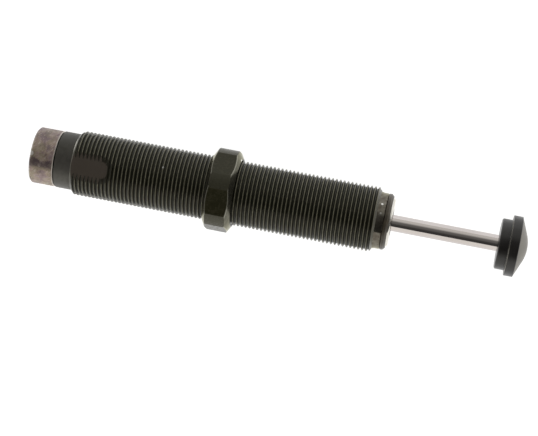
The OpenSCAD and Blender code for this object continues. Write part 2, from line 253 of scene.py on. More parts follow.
class Spot:
    """A place on a surface, or a direction in the world, as signals.

    Attributes:
        tree: the node tree.
        place: the place itself.
        x, y, z: its three numbers.
        radius: its distance from the X axis.
        lean: its angle round the X axis, from straight up towards -Y, in radians.
        patch: how strongly the soft patches show there.
        zone: share of the second finish there.
    """

    def __init__(self, tree: Tree, coordinates: str) -> None:
        """Reads the place from an output of Texture Coordinate."""
        self.tree = tree
        self.place = tree.node("ShaderNodeTexCoord", {}, {}, coordinates)
        self.x, self.y, self.z = tree.parts(self.place)
        self.radius = (self.y * self.y + self.z * self.z) ** 0.5
        self.lean = (-self.y).arctan2(self.z)
        self.patch: Any = 0.0
        self.zone: Any = 0.0


# ---- Meshes ----


class Former:
    """Forms solids from a line of points, by a node group with a named input for each size."""

    NAME = "former"
    SIZES: dict[str, str] = {}

    def __init__(self) -> None:
        """Builds the node group once."""
        self.group = bpy.data.node_groups.new(self.NAME, "GeometryNodeTree")
        kinds = {"Line": "Geometry", **self.SIZES, "Finish": "Material"}
        face = self.group.interface
        self.keys = {
            name: face.new_socket(name=name, in_out="INPUT", socket_type="NodeSocket" + kind)
            .identifier for name, kind in kinds.items()}
        face.new_socket(name="Solid", in_out="OUTPUT", socket_type="NodeSocketGeometry")
        tree = Tree(self.group)
        given = tree.node("NodeGroupInput").socket.node.outputs
        line, *sizes, finish = (Signal(tree, given[number]) for number in range(len(kinds)))
        solid = self.form(tree, line, *sizes)
        real = tree.node("GeometryNodeRealizeInstances", {}, {0: solid})
        dressed = tree.node("GeometryNodeSetMaterial", {}, {0: real, "Material": finish})
        tree.node("NodeGroupOutput", {}, {0: dressed})

    def form(self, tree: Tree, line: Signal, *sizes: Signal) -> Signal:
        """Adds the nodes that form the solid, which each kind of former has of its own."""
        raise NotImplementedError

    def make(self, name: str, points: Sequence[Sequence[float]], finish: Material,
             sizes: dict[str, Any]) -> Piece:
        """Forms one solid.

        Args:
            name: the solid's name.
            points: the line, in metres.
            finish: the solid's material.
            sizes: a value for each named size.

        Returns:
            A mesh object at the origin with its normals outwards.
        """
        source = bpy.data.meshes.new(name + "_line")
        source.from_pydata(points, [(i, i + 1) for i in range(len(points) - 1)], [])
        holder = new_object(name + "_line", source)
        modifier = holder.modifiers.new("former", "NODES")
        modifier.node_group = self.group
        for label, value in {**sizes, "Finish": finish}.items():
            modifier[self.keys[label]] = value
        piece = evaluated_copy(holder, name)
        bpy.data.objects.remove(holder)
        return face_outwards(piece)


class Lathe(Former):
    """Turns outlines about the X axis, with an optional lead that makes them screw threads."""

    NAME = "screw_lathe"
    SIZES = {"Steps": "Int", "Lead": "Float", "Rear end": "Float", "Front end": "Float"}
    WELD = 0.0005 * MM

    def form(self, tree: Tree, line: Signal, *sizes: Signal) -> Signal:
        """Lays a grid over the outline's points and bends it round the axis.

        Args:
            tree: the group's tree.
            line: the outline.
            sizes: steps, lead and the two ends.

        Returns:
            The turned solid.
        """
        steps, lead, rear, front = sizes
        here = tree.node("GeometryNodeInputPosition")
        count = tree.node("GeometryNodeAttributeDomainSize", {"component": "MESH"}, {0: line})
        grid = tree.node("GeometryNodeMeshGrid", {}, {
            "Size X": count - 1.0, "Size Y": steps, "Vertices X": count,
            "Vertices Y": steps + 1.0})
        across, along, _ = tree.parts(here)
        column = (across + (count - 1.0) * 0.5).rounded()
        turn = (along + steps * 0.5).rounded() / steps
        point = tree.node("GeometryNodeSampleIndex", {"data_type": "FLOAT_VECTOR"}, {
            "Geometry": line, "Value": here, "Index": column})
        x, radius, _ = tree.parts(point)
        x = x + lead * turn
        radius = radius * (1.0 - (x < rear)) * (1.0 - (x > front))
        angle = turn * (2.0 * math.pi)
        bent = tree.node("GeometryNodeSetPosition", {}, {
            "Geometry": grid,
            "Position": tree.vector(x.largest(rear).smallest(front), radius * angle.cosine(),
                                    radius * angle.sine())})
        return tree.node("GeometryNodeMergeByDistance", {}, {0: bent, "Distance": self.WELD})


class Sweep(Former):
    """Runs a round wire along a path of points."""

    NAME = "wire_sweep"
    SIZES = {"Wire radius": "Float", "Sides": "Int"}

    def form(self, tree: Tree, line: Signal, *sizes: Signal) -> Signal:
        """Runs a circle along the path and closes both ends.

        Args:
            tree: the group's tree.
            line: the path.
            sizes: the wire's radius and sides.

        Returns:
            The wire.
        """
        radius, sides = sizes
        path = tree.node("GeometryNodeMeshToCurve", {}, {0: line})
        section = tree.node("GeometryNodeCurvePrimitiveCircle", {}, {
            "Resolution": sides, "Radius": radius})
        return tree.node("GeometryNodeCurveToMesh", {}, {
            "Curve": path, "Profile Curve": section, "Fill Caps": True})


def new_object(name: str, data: bpy.types.ID) -> Piece:
    """Links a mesh or a camera to the scene as a new object at the origin."""
    made = bpy.data.objects.new(name, data)
    bpy.context.scene.collection.objects.link(made)
    return made


def evaluated_copy(source: Piece, name: str) -> Piece:
    """Turns an object with its modifiers into a plain mesh object."""
    graph = bpy.context.evaluated_depsgraph_get()
    mesh = bpy.data.meshes.new_from_object(source.evaluated_get(graph), depsgraph=graph)
    mesh.name = name
    return new_object(name, mesh)


def face_outwards(piece: Piece) -> Piece:
    """Makes all normals of a closed mesh point outwards.

    Args:
        piece: the object with the mesh.

    Returns:
        The same object.
    """
    work = bmesh.new()
    work.from_mesh(piece.data)
    bmesh.ops.dissolve_degenerate(work, dist=Lathe.WELD, edges=work.edges)
    bmesh.ops.recalc_face_normals(work, faces=work.faces)
    work.to_mesh(piece.data)
    work.free()
    return piece


def prism(name: str, outline: Profile, half: float, turn: float, finish: Material) -> Piece:
    """A closed prism across the X axis.

    Args:
        name: the solid's name.
        outline: its outline as (x, z) points in metres.
        half: half of its width.
        turn: how far it is turned about the X axis, in radians.
        finish: its material.

    Returns:
        The solid.
    """
    count = len(outline)
    turned = Matrix.Rotation(turn, 3, "X")
    points = [turned @ Vector((x, y, z)) for y in (-half, half) for x, z in outline]
    sides = [(i, (i + 1) % count, count + (i + 1) % count, count + i) for i in range(count)]
    mesh = bpy.data.meshes.new(name)
    mesh.from_pydata(points, [], [tuple(range(count)), tuple(range(count, 2 * count)), *sides])
    mesh.materials.append(finish)
    return face_outwards(new_object(name, mesh))


def cut(piece: Piece, way: Cut, *tools: Piece) -> Piece:
    """Works on a solid with other solids, which are used up.

    Args:
        piece: the solid to work on.
        way: what the others do to it.
        tools: the others.

    Returns:
        The new solid, under the old one's name.
    """
    name = piece.name
    for tool in tools:
        modifier = piece.modifiers.new("cut", "BOOLEAN")
        modifier.solver = "MANIFOLD"
        modifier.operation = way.value
        modifier.object = tool
        result = evaluated_copy(piece, name + "_cut")
        for used in (piece, tool):
            bpy.data.objects.remove(used)
        piece = result
    piece.name = name
    return piece


def hand_over(piece: Piece, body: Body, node: str, sharp_deg: float = 28.0) -> None:
    """Shades a finished piece, puts it on the body that it rides on and hides the CAD node that it
    replaces.

    Args:
        piece: the piece.
        body: the body that it rides on.
        node: the CAD node that it replaces.
        sharp_deg: the angle past which an edge stays sharp.
    """
    piece.data.shade_smooth()
    piece.data.set_sharp_from_angle(angle=math.radians(sharp_deg))
    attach(piece, body.value)
    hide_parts(node)
    LOG.info("%s: %d faces on %s", piece.name, len(piece.data.polygons), body.value)


def arc(centre: Pair, radius: float, start_deg: float, end_deg: float,
        steps: int = 4) -> Profile:
    """Points on an arc of an outline.

    Args:
        centre: the arc's centre.
        radius: its radius.
        start_deg: where it starts, counted from +X towards +radius.
        end_deg: where it ends.
        steps: the number of chords.

    Returns:
        The points, with both ends.
    """
    step = math.radians(end_deg - start_deg) / steps
    angles = [math.radians(start_deg) + step * i for i in range(steps + 1)]
    return [(centre[0] + radius * math.cos(a), centre[1] + radius * math.sin(a)) for a in angles]


def radians(*angles: float) -> tuple[float, ...]:
    """Turns degrees to radians."""
    return tuple(math.radians(angle) for angle in angles)


def rear_of(node: str) -> float:
    """The place along the axis where a CAD node starts."""
    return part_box(node)[0].x


def front_of(node: str) -> float:
    """The place along the axis where a CAD node ends."""
    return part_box(node)[1].x


def radius_of(node: str) -> float:
    """The outer radius of a turned CAD node."""
    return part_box(node)[1].z


def mount(name: str) -> tuple[Vector, Vector]:
    """Place and direction of one of the record's mounts."""
    found = next(m for m in frame["record"]["mounts"] if m["name"] == name)
    return Vector(found["pos_m"]), Vector(found["axis"])


def ring_groove(ring: str, side: float = 0.06 * MM) -> Profile:
    """Outline of the groove that an O-ring fills up to the surface.

    Args:
        ring: the ring's CAD node.
        side: the play on each side of the ring.

    Returns:
        The corners of the groove.
    """
    rear, front, surface = rear_of(ring), front_of(ring), radius_of(ring)
    floor = surface - (front - rear) - HAIR
    return [(rear - side, surface), (rear - side, floor), (front + side, floor),
            (front + side, surface)]


# ---- Finishes ----


@dataclass(frozen=True)
class Speck:
    """A light speck on a surface."""

    place: Place  # its middle
    radius: float  # its size
    share: float = 1.0  # how strongly it shows, up to 1


@dataclass(frozen=True)
class Finish:
    """A metal, rubber or foam surface with soft patches, turning marks and a fine grain."""

    name: str  # the material's name
    base: Colour  # main colour
    tint: Colour  # colour of the patches
    patch_size: float = 6 * MM  # their size, in metres
    patch_share: float = 0.6  # how strongly they show, up to 1
    patch_edge: Pair = (0.38, 0.66)  # between which levels of the noise they fade in
    metal: float = 0.0  # metallic share
    rough: float = 0.35  # roughness of the plain surface
    rough_spread: float = 0.12  # change of roughness in the patches
    turning: float = 0.0  # depth of the turning marks round the axis
    mark_l: float = 0.12 * MM  # width of one mark
    grain: float = 0.1  # depth of the grain
    grain_size: float = 0.25 * MM  # size of the grain
    bump: float = 0.35  # strength of both
    bump_depth: float = 0.02 * MM  # their depth in metres
    specular: float = 0.5  # specular level
    sheen: Colour = (1.0, 1.0, 1.0)  # colour of the plain reflections
    specks: tuple[Speck, ...] = ()  # light specks on the surface
    speck_colour: Colour = (0.9, 0.9, 0.88)  # their colour

    def zone(self, spot: Spot) -> Any:
        """Share of the second finish, of which there is none here."""
        return 0.0

    def colour(self, spot: Spot) -> Signal:
        """The surface's colour."""
        return spot.tree.mix(spot.patch * self.patch_share, self.base, self.tint)

    def metallic(self, spot: Spot) -> Any:
        """The surface's metallic share."""
        return self.metal

    def roughness(self, spot: Spot) -> Signal:
        """The surface's roughness."""
        return self.rough + spot.patch * self.rough_spread

    def specked(self, spot: Spot) -> Signal:
        """The surface's colour with its specks."""
        return spot.tree.lay(self.colour(spot), *(
            ((spot.tree.measure("DISTANCE", spot.place, speck.place) < speck.radius)
             * speck.share, self.speck_colour) for speck in self.specks))

    def relief(self, spot: Spot) -> Signal:
        """The surface's fine texture as a bump.

        Args:
            spot: the place on the surface.

        Returns:
            The bumped normal.
        """
        marks = spot.tree.node("ShaderNodeTexNoise", {"noise_dimensions": "1D"}, {
            "W": spot.x, "Scale": 1.0 / self.mark_l, "Detail": 3.0})
        grain = spot.tree.noise(spot.place, self.grain_size)
        return spot.tree.node("ShaderNodeBump", {}, {
            "Strength": self.bump, "Distance": self.bump_depth,
            "Height": marks * self.turning + grain * self.grain})

    def material(self) -> Material:
        """Builds the material.

        Returns:
            The material.
        """
        made = bpy.data.materials.new(self.name)
        tree = Tree.of(made)
        spot = Spot(tree, "Object")
        spot.patch = tree.noise(spot.place, self.patch_size, 4.0, 0.6).ramp(*self.patch_edge)
        spot.zone = self.zone(spot)
        surface = tree.node("ShaderNodeBsdfPrincipled", {}, {
            "Base Color": self.specked(spot), "Roughness": self.roughness(spot),
            "Metallic": self.metallic(spot), "Specular IOR Level": self.specular,
            "Specular Tint": self.sheen, "Normal": self.relief(spot)})
        tree.node("ShaderNodeOutputMaterial", {}, {"Surface": surface})
        return made


@dataclass(frozen=True, kw_only=True)
class ZonedFinish(Finish):
    """A finish that gives way to a second one over a stretch of the axis."""

    zone_from: float  # the rear end of the second finish
    zone_to: float = 1.0  # its front end
    zone_base: Colour  # its colour
    zone_tint: Colour  # colour of its patches
    zone_metal: float = 1.0  # its metallic share
    zone_rough: float  # its roughness

    def zone(self, spot: Spot) -> Signal:
        """Share of the second finish, with a narrow soft border."""
        return spot.x.window((self.zone_from - HAIR, self.zone_from + HAIR),
                             (self.zone_to - HAIR, self.zone_to + HAIR))

    def colour(self, spot: Spot) -> Signal:
        """The surface's colour."""
        second = spot.tree.mix(spot.patch * self.patch_share, self.zone_base, self.zone_tint)
        return spot.tree.mix(spot.zone, super().colour(spot), second)

    def metallic(self, spot: Spot) -> Signal:
        """The surface's metallic share."""
        return self.metal + spot.zone * (self.zone_metal - self.metal)

    def roughness(self, spot: Spot) -> Signal:
        """The surface's roughness."""
        plain = super().roughness(spot)
        return plain + spot.zone * (self.zone_rough - plain)


@dataclass(frozen=True, kw_only=True)
class ThreadFinish(ZonedFinish):
    """Black oxide on the housing: painted shade in the grooves, rubbed crests with a painted
    highlight, a matt tail with painted shade towards +Y, and painted highlights on the thread's end
    chamfers.
    """

    crest_r: float  # radius of the crests
    crest_rise: Pair = (-0.12 * MM, -0.01 * MM)  # where their rubbing grows
    wall_top: float = 0.1 * MM  # how far under the crests the grooves' painted shade ends
    crest_wear_and_highlight: Colour = (0.23, 0.22, 0.155)  # colour of the crests: rubbed metal with a painted highlight
    groove_depth: float = 0.9 * MM  # depth of the grooves, which carry painted shade
    groove_shade: Colour = (0.008, 0.008, 0.003)  # painted shade in the grooves, darkest at their floor
    grooved_from: float  # the rear end of the thread
    grooved_to: float  # its front end
    flat_normal: Place  # direction that a wrench flat faces
    flat_height: float  # distance of the flats from the axis
    flat_base: Colour = (0.078, 0.064, 0.053)  # colour of the flats
    run_out_to: float  # where the run-out of the flats reaches the grooves
    run_out_l: float = 4.5 * MM  # length of the run-out
    run_out_h: float = 0.12 * MM  # how far it reaches up from the grooves
    tail_base: Colour = (0.078, 0.074, 0.068)  # colour of the tail
    tail_shade: Colour = (0.022, 0.02, 0.018)  # painted shade on the tail's side towards +Y
    tail_deg: Pair = (-65.0, 0.0)  # where round the axis the one turns to the other
    tail_rough: float = 0.45  # roughness of the tail
    lead: Colour = (0.75, 0.73, 0.66)  # painted highlight on the chamfers at both ends of the thread
    lead_l: float = 1.5 * MM  # length of the rear one
    lead_from: float = 0.1 * MM  # where its painted highlight line starts
    lead_to: float = 0.55 * MM  # where that line ends
    lead_skin: Pair = (0.05 * MM, 0.2 * MM)  # how near to the chamfer it fades out
    lead_rise_deg: Pair = (-75.0, -60.0)  # where round the axis the painted highlight grows brighter
    lead_fall_deg: Pair = (-50.0, -35.0)  # where the painted highlight fades again
    ahead_l: float = 0.2 * MM  # length of the front one
    ahead_share: float = 0.13  # how strongly that one shows

    def milled(self, spot: Spot) -> Signal:
        """Share of the wrench flats and their run-out.

        Args:
            spot: the place on the surface.

        Returns:
            One on them, otherwise nought.
        """
        floor = self.crest_r - self.groove_depth
        level = spot.tree.measure("DOT_PRODUCT", spot.place, self.flat_normal).absolute()
        run_out = ((level > self.flat_height) * (spot.radius < floor + self.run_out_h)
                   * spot.x.between(self.run_out_to - self.run_out_l, self.run_out_to))
        return ((level - self.flat_height).absolute() < HAIR).largest(run_out)

    def lead_in_highlight(self, spot: Spot) -> Signal:
        """Share of the painted highlight line on the chamfer behind the first crest, strongest on
        the side towards +Y.

        Args:
            spot: the place on the surface.

        Returns:
            The share.
        """
        start = self.grooved_from - self.lead_l
        off = (spot.radius - (spot.x + (self.crest_r - self.lead_l - start))).absolute()
        upper = spot.lean.window(radians(*self.lead_rise_deg), radians(*self.lead_fall_deg))
        line = spot.x.between(start + self.lead_from, start + self.lead_to)
        return (1.0 - off.ramp(*self.lead_skin)) * line * (0.2 + upper * 0.8)

    def colour(self, spot: Spot) -> Signal:
        """The surface's colour.

        Args:
            spot: the place on the surface.

        Returns:
            The colour.
        """
        floor = self.crest_r - self.groove_depth
        wall = spot.radius.ramp(floor, self.crest_r - self.wall_top)
        crest = spot.radius.ramp(*(self.crest_r + rise for rise in self.crest_rise))
        milled = self.milled(spot)
        grooved = spot.x.between(self.grooved_from, self.grooved_to) * (1.0 - milled)
        # painted shade: the tail turns darker on its side towards +Y
        side = spot.lean.ramp(*radians(*self.tail_deg)) - spot.patch * 0.25
        ahead = spot.x.between(self.grooved_to, self.ahead_l)
        return spot.tree.lay(
            super().colour(spot),
            (spot.x < self.grooved_from - self.lead_l,
             spot.tree.mix(side, self.tail_shade, self.tail_base)),
            # painted shade in the grooves, fading out up their walls
            (milled, self.flat_base), (grooved * (1.0 - wall), self.groove_shade),
            # rubbed crests with a painted highlight, broken up by the patches
            (crest * (0.5 + spot.patch * 0.5), self.crest_wear_and_highlight),
            # painted highlights: a line on the rear chamfer and a faint band on the front cone
            (self.lead_in_highlight(spot) + ahead * self.ahead_share, self.lead))

    def roughness(self, spot: Spot) -> Signal:
        """The surface's roughness."""
        plain = super().roughness(spot)
        return plain + (spot.x < self.grooved_from - self.lead_l) * (self.tail_rough - plain)


@dataclass(frozen=True, kw_only=True)
class TurnedFinish(ZonedFinish):
    """Black oxide on a hexagon nut, with smooth chamfers, rubbed edges with a painted highlight,
    and painted light on the turned outside towards -Y.

    The second finish lies on the turned chamfers.
    """

    rim_r: float  # radius of the turned outside
    rim_base: Colour = (0.048, 0.046, 0.031)  # colour of the outside, between the flats
    rim_lit_side: Colour = (0.085, 0.082, 0.062)  # painted light: its colour on the side towards -Y
    rim_lean: Pair = (0.0, 0.5)  # where the one turns to the other, in radians
    flat_r: float  # distance of the flats from the axis
    chamfer_l: float  # length of the chamfers along the axis
    chamfer_slope: float  # their rise along the axis for each unit of radius
    edge: Colour = (0.34, 0.33, 0.28)  # colour of the edges: rubbed, with a painted highlight
    edge_l: float = 0.28 * MM  # width of those edges
    edge_core: float = 0.08 * MM  # width of their strongest part
    edge_grain: float = 0.7 * MM  # size of the grain that breaks them up

    def depth(self, spot: Spot) -> Signal:
        """How far a place lies inside the nearer chamfer, along the axis.

        Args:
            spot: the place on the surface.

        Returns:
            The depth in metres.
        """
        middle = (self.zone_from + self.zone_to) / 2
        half = (self.zone_to - self.zone_from) / 2 - self.chamfer_l
        rise = (self.rim_r - spot.radius) * self.chamfer_slope
        return rise + half - (spot.x - middle).absolute()

    def zone(self, spot: Spot) -> Signal:
        """Share of the chamfers."""
        return self.depth(spot) < HAIR

    def colour(self, spot: Spot) -> Signal:
        """The surface's colour.

        Args:
            spot: the place on the surface.

        Returns:
            The colour.
        """
        half = math.radians(30)
        out = spot.radius * (spot.z.arctan2(spot.y).fold(half) - half).cosine()
        inside = spot.radius < self.rim_r - SKIN
        near = (out > self.flat_r - self.edge_l) * inside
        # rubbed edges with a painted highlight, where the flats meet the chamfers
        rub_and_highlight = near * (1.0 - self.depth(spot).absolute().ramp(self.edge_core, self.edge_l))
        grain = spot.tree.noise(spot.place, self.edge_grain, 3.0)
        # painted light: the turned outside is lighter on its side towards -Y
        rim = spot.tree.mix(spot.lean.ramp(*self.rim_lean), self.rim_base, self.rim_lit_side)
        return spot.tree.lay(super().colour(spot), (1.0 - inside, rim),
                             (rub_and_highlight * (0.45 + grain * 0.5), self.edge))


@dataclass(frozen=True, kw_only=True)
class ButtonFinish(ZonedFinish):
    """Blackened steel with a bare crown and a shallow cone on the rear of the rim, rubbed and with
    a painted highlight.
    """

    cone_at: float  # the front end of the cone
    cone_l: float = 0.2 * MM  # its length
    cone_r: float = 9.7 * MM  # its inner radius
    rub_and_highlight: Colour = (0.2, 0.19, 0.165)  # its colour: rubbed, with a painted highlight

    def colour(self, spot: Spot) -> Signal:
        """The surface's colour."""
        cone = (spot.x.between(self.cone_at - self.cone_l, self.cone_at + self.cone_l / 2)
                * (spot.radius > self.cone_r))
        # rubbed cone with a painted highlight
        return spot.tree.mix(cone * (0.4 + spot.patch * 0.6), super().colour(spot), self.rub_and_highlight)


@dataclass(frozen=True, kw_only=True)
class TemperedFinish(ZonedFinish):
    """Heat-treated steel with brown and violet stains, painted shade in a streak along the top and
    on the side towards +Y, slanting scratches, and a painted highlight and painted shadow at the
    front.
    """

    stain_and_shade: Colour = (0.09, 0.065, 0.07)  # colour of the dark stains and of the painted shade
    blot_size: float = 2.6 * MM  # size of the stains
    hue_size: float = 3.5 * MM  # size of the coloured patches
    olive: Colour = (0.3, 0.27, 0.17)  # colour of the greenish ones
    violet: Colour = (0.25, 0.18, 0.215)  # colour of the violet ones
    streak_deg: float = -1.5  # where the painted shade streak lies round the axis, from straight up towards -Y
    streak_half_deg: float = 8.0  # half its width
    shaded_side_deg: Pair = (-62.0, -34.0)  # where round the axis the painted shade on the side towards +Y fades out
    scratch_and_highlight: Colour = (0.72, 0.66, 0.6)  # colour of the scratches and of the painted highlight on the front edge
    scratch_slant_deg: float = 55.0  # the scratches' angle from the axis
    scratch_size: float = 0.5 * MM  # their width
    rim_at: float  # place of the front face along the axis
    rim_l: float = 0.34 * MM  # width of the painted highlight behind it
    skin_r: float  # radius past which the painted shade lies
    inside: Colour = (0.004, 0.004, 0.003)  # painted shadow from the front face on, in the gap inside the housing

    def scratches(self, spot: Spot) -> Signal:
        """Noise that is drawn out along the slanting scratches.

        Args:
            spot: the place on the surface.

        Returns:
            Its strength, from nought to one.
        """
        slant = math.radians(self.scratch_slant_deg)
        along = spot.x * math.cos(slant) + spot.y * math.sin(slant)
        across = spot.y * math.cos(slant) - spot.x * math.sin(slant)
        drawn = spot.tree.vector(along * 0.3, across, spot.z * 0.3)
        return spot.tree.noise(drawn, self.scratch_size, 4.0, 0.7)

    def shadow(self, spot: Spot, blots: Signal) -> Signal:
        """Share of the painted shade: a streak along the top and the side towards +Y.

        Args:
            spot: the place on the surface.
            blots: noise that frays the streak.

        Returns:
            The share, which is nought on the rear face.
        """
        half = math.radians(self.streak_half_deg)
        away = (spot.lean + blots * 0.36 - 0.18 - math.radians(self.streak_deg)).absolute()
        streak = (1.0 - away.ramp(half * 0.5, half * 1.4)) * (0.55 + blots * 0.5)
        shade_side = 1.0 - spot.lean.ramp(*radians(*self.shaded_side_deg))
        return streak.smallest(1.0).largest(shade_side * 0.45) * (spot.radius > self.skin_r)

    def colour(self, spot: Spot) -> Signal:
        """The surface's colour.

        Args:
            spot: the place on the surface.

        Returns:
            The colour.
        """
        blots = spot.tree.noise(spot.place, self.blot_size, 4.0, 0.75)
        hue = spot.tree.noise(spot.place, self.hue_size, 3.0, 0.6)
        lines = self.scratches(spot)
        return spot.tree.lay(
            super().colour(spot),
            (hue.ramp(0.48, 0.6) * 0.5, self.olive),
            ((1.0 - hue).ramp(0.5, 0.62) * 0.6, self.violet),
            # painted shade along the top and on the side towards +Y
            (self.shadow(spot, blots), self.stain_and_shade),
            (blots.ramp(0.46, 0.66) * 0.5, self.stain_and_shade),
            ((1.0 - blots).ramp(0.52, 0.68) * 0.15, self.scratch_and_highlight),
            (lines.ramp(0.56, 0.7) * 0.45, self.scratch_and_highlight),
            ((1.0 - lines).ramp(0.55, 0.7) * 0.4, self.stain_and_shade),
            # painted highlight on the front edge, then painted shadow in the gap from the front
            # face on
            (spot.x > self.rim_at - self.rim_l, self.scratch_and_highlight),
            (spot.x > self.rim_at - SKIN, self.inside))


# ---- Sub-assemblies ----


@dataclass
class TurnedPart:
    """A sub-assembly whose pieces come from the lathe."""

    lathe: Lathe  # what turns its pieces
    finish: Material  # the material of its main piece

    def turn(self, name: str, profile: Profile, steps: int = 96, finish: Material | None = None,
             lead: float = 0.0, ends: Pair = (-1.0, 1.0)) -> Piece:
        """Turns one solid.

        Args:
            name: the solid's name.
            profile: its outline as (x, radius) points in metres.
            steps: faces round the axis.
            finish: its material, which is the main one where none is given.
            lead: advance along X in one turn, which makes a right-hand thread.
            ends: where a thread is cut off square.

        Returns:
            The solid.
        """
        return self.lathe.make(name, [(x, r, 0.0) for x, r in profile], finish or self.finish, {
            "Steps": steps, "Lead": lead, "Rear end": ends[0], "Front end": ends[1]})


@dataclass
class ThreadedBody(TurnedPart):
    """The housing: a long fine thread between a smooth tail and a neck, and two wrench flats."""

    pitch: float = 1.5 * MM  # pitch of the thread
    depth_share: float = 0.6134  # depth of the thread as a share of its pitch
    crest_share: float = 0.125  # width of the crest as a share of the pitch
    flank_deg: float = 30.0  # slope of the flanks
    crest_round: float = 0.06 * MM  # rounding of the crest's edges
    crest_mid: Pair = (0.5, 0.87)  # its middle, as shares of it along the axis and in depth
    crest_under: float = 0.08 * MM  # how far the crests lie inside the nominal radius
    tail_step: float = 1.52 * MM  # step in radius from the crests to the tail
    tail_l: float = 6.3 * MM  # length of the tail
    tail_lap: float = 0.2 * MM  # how far it reaches into the thread
    neck_step: float = 1.72 * MM  # step in radius from the crests to the neck
    cone: tuple[float, ...] = (-0.6 * MM, 0.2 * MM, 1.2 * MM)  # the front cone's foot, knee, head
    knee_step: float = 1.45 * MM  # step in radius from the crests to the cone's knee
    flat_l: float = 14.5 * MM  # length of the wrench flats from the rear of the thread
    cutter_r: float = 15 * MM  # radius of the disc cutter that cuts them
    cutter_deg: float = 40.0  # how much of the disc's round is in the work
    bore_wall: float = 2.42 * MM  # wall between the crests and the bore
    foam_gap: float = 0.2 * MM  # gap round the foam in the front of the bore
    edge: float = 0.25 * MM  # size of broken edges

    def __post_init__(self) -> None:
        """Takes the ends and the crests' radius from the CAD node."""
        low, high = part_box("outer_body")
        self.start, self.rear, self.front = low.x, low.x + self.tail_l, high.x
        self.radius = high.z - self.crest_under
        self.root = self.radius - self.depth_share * self.pitch

    def thread(self) -> Piece:
        """Turns a threaded rod that reaches a turn past both ends of the housing.

        Returns:
            The rod.
        """
        crest, soft = self.crest_share * self.pitch, self.crest_round
        flank = self.depth_share * self.pitch * math.tan(math.radians(self.flank_deg))
        out, down = (soft * share for share in self.crest_mid)
        tooth = [(0.0, self.root), (flank - out, self.radius - down), (flank + soft, self.radius),
                 (flank + crest - soft, self.radius), (flank + crest + out, self.radius - down),
                 (2 * flank + crest, self.root)]
        first = self.rear - 2 * self.pitch
        count = math.ceil((self.front - first) / self.pitch) + 2
        return self.turn(
            "threaded_housing",
            [(first + i * self.pitch + x, radius) for i in range(count) for x, radius in tooth],
            lead=self.pitch, ends=(self.rear - self.pitch, self.front + self.pitch))

    def envelope(self) -> Piece:
        """Turns the space that the finished thread and neck keep of the rod.

        Returns:
            The space as a solid.
        """
        foot, knee, head = self.cone
        clear = self.radius + OVER
        neck_r = self.radius - self.neck_step
        lead = self.rear + self.tail_step
        return self.turn("housing_envelope", [
            (self.rear, 0.0), (self.rear, self.radius - self.tail_step), (lead, self.radius),
            (lead, clear), (foot, clear), (foot, self.radius), (knee, self.radius - self.knee_step),
            (head, neck_r), (self.front - self.edge, neck_r), (self.front, neck_r - self.edge),
            (self.front, 0.0)])

    def tail(self) -> Piece:
        """Turns the smooth tail behind the thread.

        Returns:
            The tail, which reaches a little into the thread.
        """
        tail_r = self.radius - self.tail_step
        into = self.rear + self.tail_lap
        return self.turn("housing_tail", [
            (self.start, 0.0), (self.start, tail_r - self.edge),
            *arc((self.start + self.edge, tail_r - self.edge), self.edge, 180, 90, 3),
            (into, tail_r), (into, 0.0)])

    def mill(self, side: int) -> Piece:
        """Makes what the disc cutter takes off for one wrench flat, with its rising run-out.

        Args:
            side: 0 for the flat at the mount, 1 for the one across from it.

        Returns:
            The solid to take off.
        """
        place, normal = mount("wrench_flat")
        height, back, top = place.dot(normal), self.rear - OVER, 2 * self.radius
        stop = self.rear + self.flat_l - math.sqrt(2 * self.cutter_r * (self.root - height))
        outline = [(back, height), *arc((stop, height + self.cutter_r), self.cutter_r, -90,
                                        self.cutter_deg - 90, 24)]
        outline += [(outline[-1][0], top), (back, top)]
        turn = math.pi * side - math.atan2(normal.y, normal.z)
        return prism("flat_mill", outline, self.radius, turn, self.finish)

    def bore(self) -> Piece:
        """Turns the bore for the pressure tube, the foam and the gland.

        Returns:
            The solid to take off.
        """
        main_r = self.radius - self.bore_wall
        front_r = radius_of("accumulator_foam") + self.foam_gap
        shoulder = front_of("rod_guide")
        return self.turn("housing_bore", [
            (self.start - OVER, 0.0), (self.start - OVER, main_r), (shoulder, main_r),
            (shoulder, front_r), (self.front + OVER, front_r), (self.front + OVER, 0.0)])

    def build(self) -> None:
        """Makes the housing."""
        body = cut(self.thread(), Cut.KEEP_WITHIN, self.envelope())
        body = cut(body, Cut.TAKE_OFF, self.mill(0), self.mill(1))
        body = cut(cut(body, Cut.JOIN, self.tail()), Cut.TAKE_OFF, self.bore())
        hand_over(body, Body.HOUSING, "outer_body", 24)


@dataclass
class LockNut(TurnedPart):
    """The lock nut: a turned ring with six milled flats and a chamfer on both ends."""

    chamfer: float = 2.75 * MM  # depth of the chamfers in radius
    chamfer_deg: float = 31.0  # their angle from the end faces
    bore_clearance: float = 0.05 * MM  # between its bore and the thread's crests
    mouth: float = 0.3 * MM  # chamfer at both ends of the bore
    edge: float = 0.12 * MM  # rounding where the chamfers meet the outside
    edge_share: float = 0.6  # its share that lies along the chamfer

    def build(self) -> None:
        """Makes the nut."""
        low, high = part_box("lock_nut")
        outer = high.y
        face_r = outer - self.chamfer
        length = self.chamfer * math.tan(math.radians(self.chamfer_deg))
        bore = radius_of("outer_body") + self.bore_clearance
        mouth, soft = self.mouth, self.edge
        down = length - soft * self.edge_share
        blank = self.turn("lock_nut_piece", [
            (low.x + mouth, bore), (low.x, bore + mouth), (low.x, face_r),
            (low.x + down, outer - soft), (low.x + length + soft, outer),
            (high.x - length - soft, outer), (high.x - down, outer - soft),
            (high.x, face_r), (high.x, bore + mouth), (high.x - mouth, bore),
            (low.x + mouth, bore)], 192)
        rear, front, corner = low.x - OVER, high.x + OVER, high.z * HEX_CORNER
        hexagon = self.turn("nut_hexagon", [
            (rear, 0.0), (rear, corner), (front, corner), (front, 0.0)], 6)
        nut = cut(blank, Cut.KEEP_WITHIN, hexagon)
        hand_over(nut, Body.NUT, "lock_nut", 12)


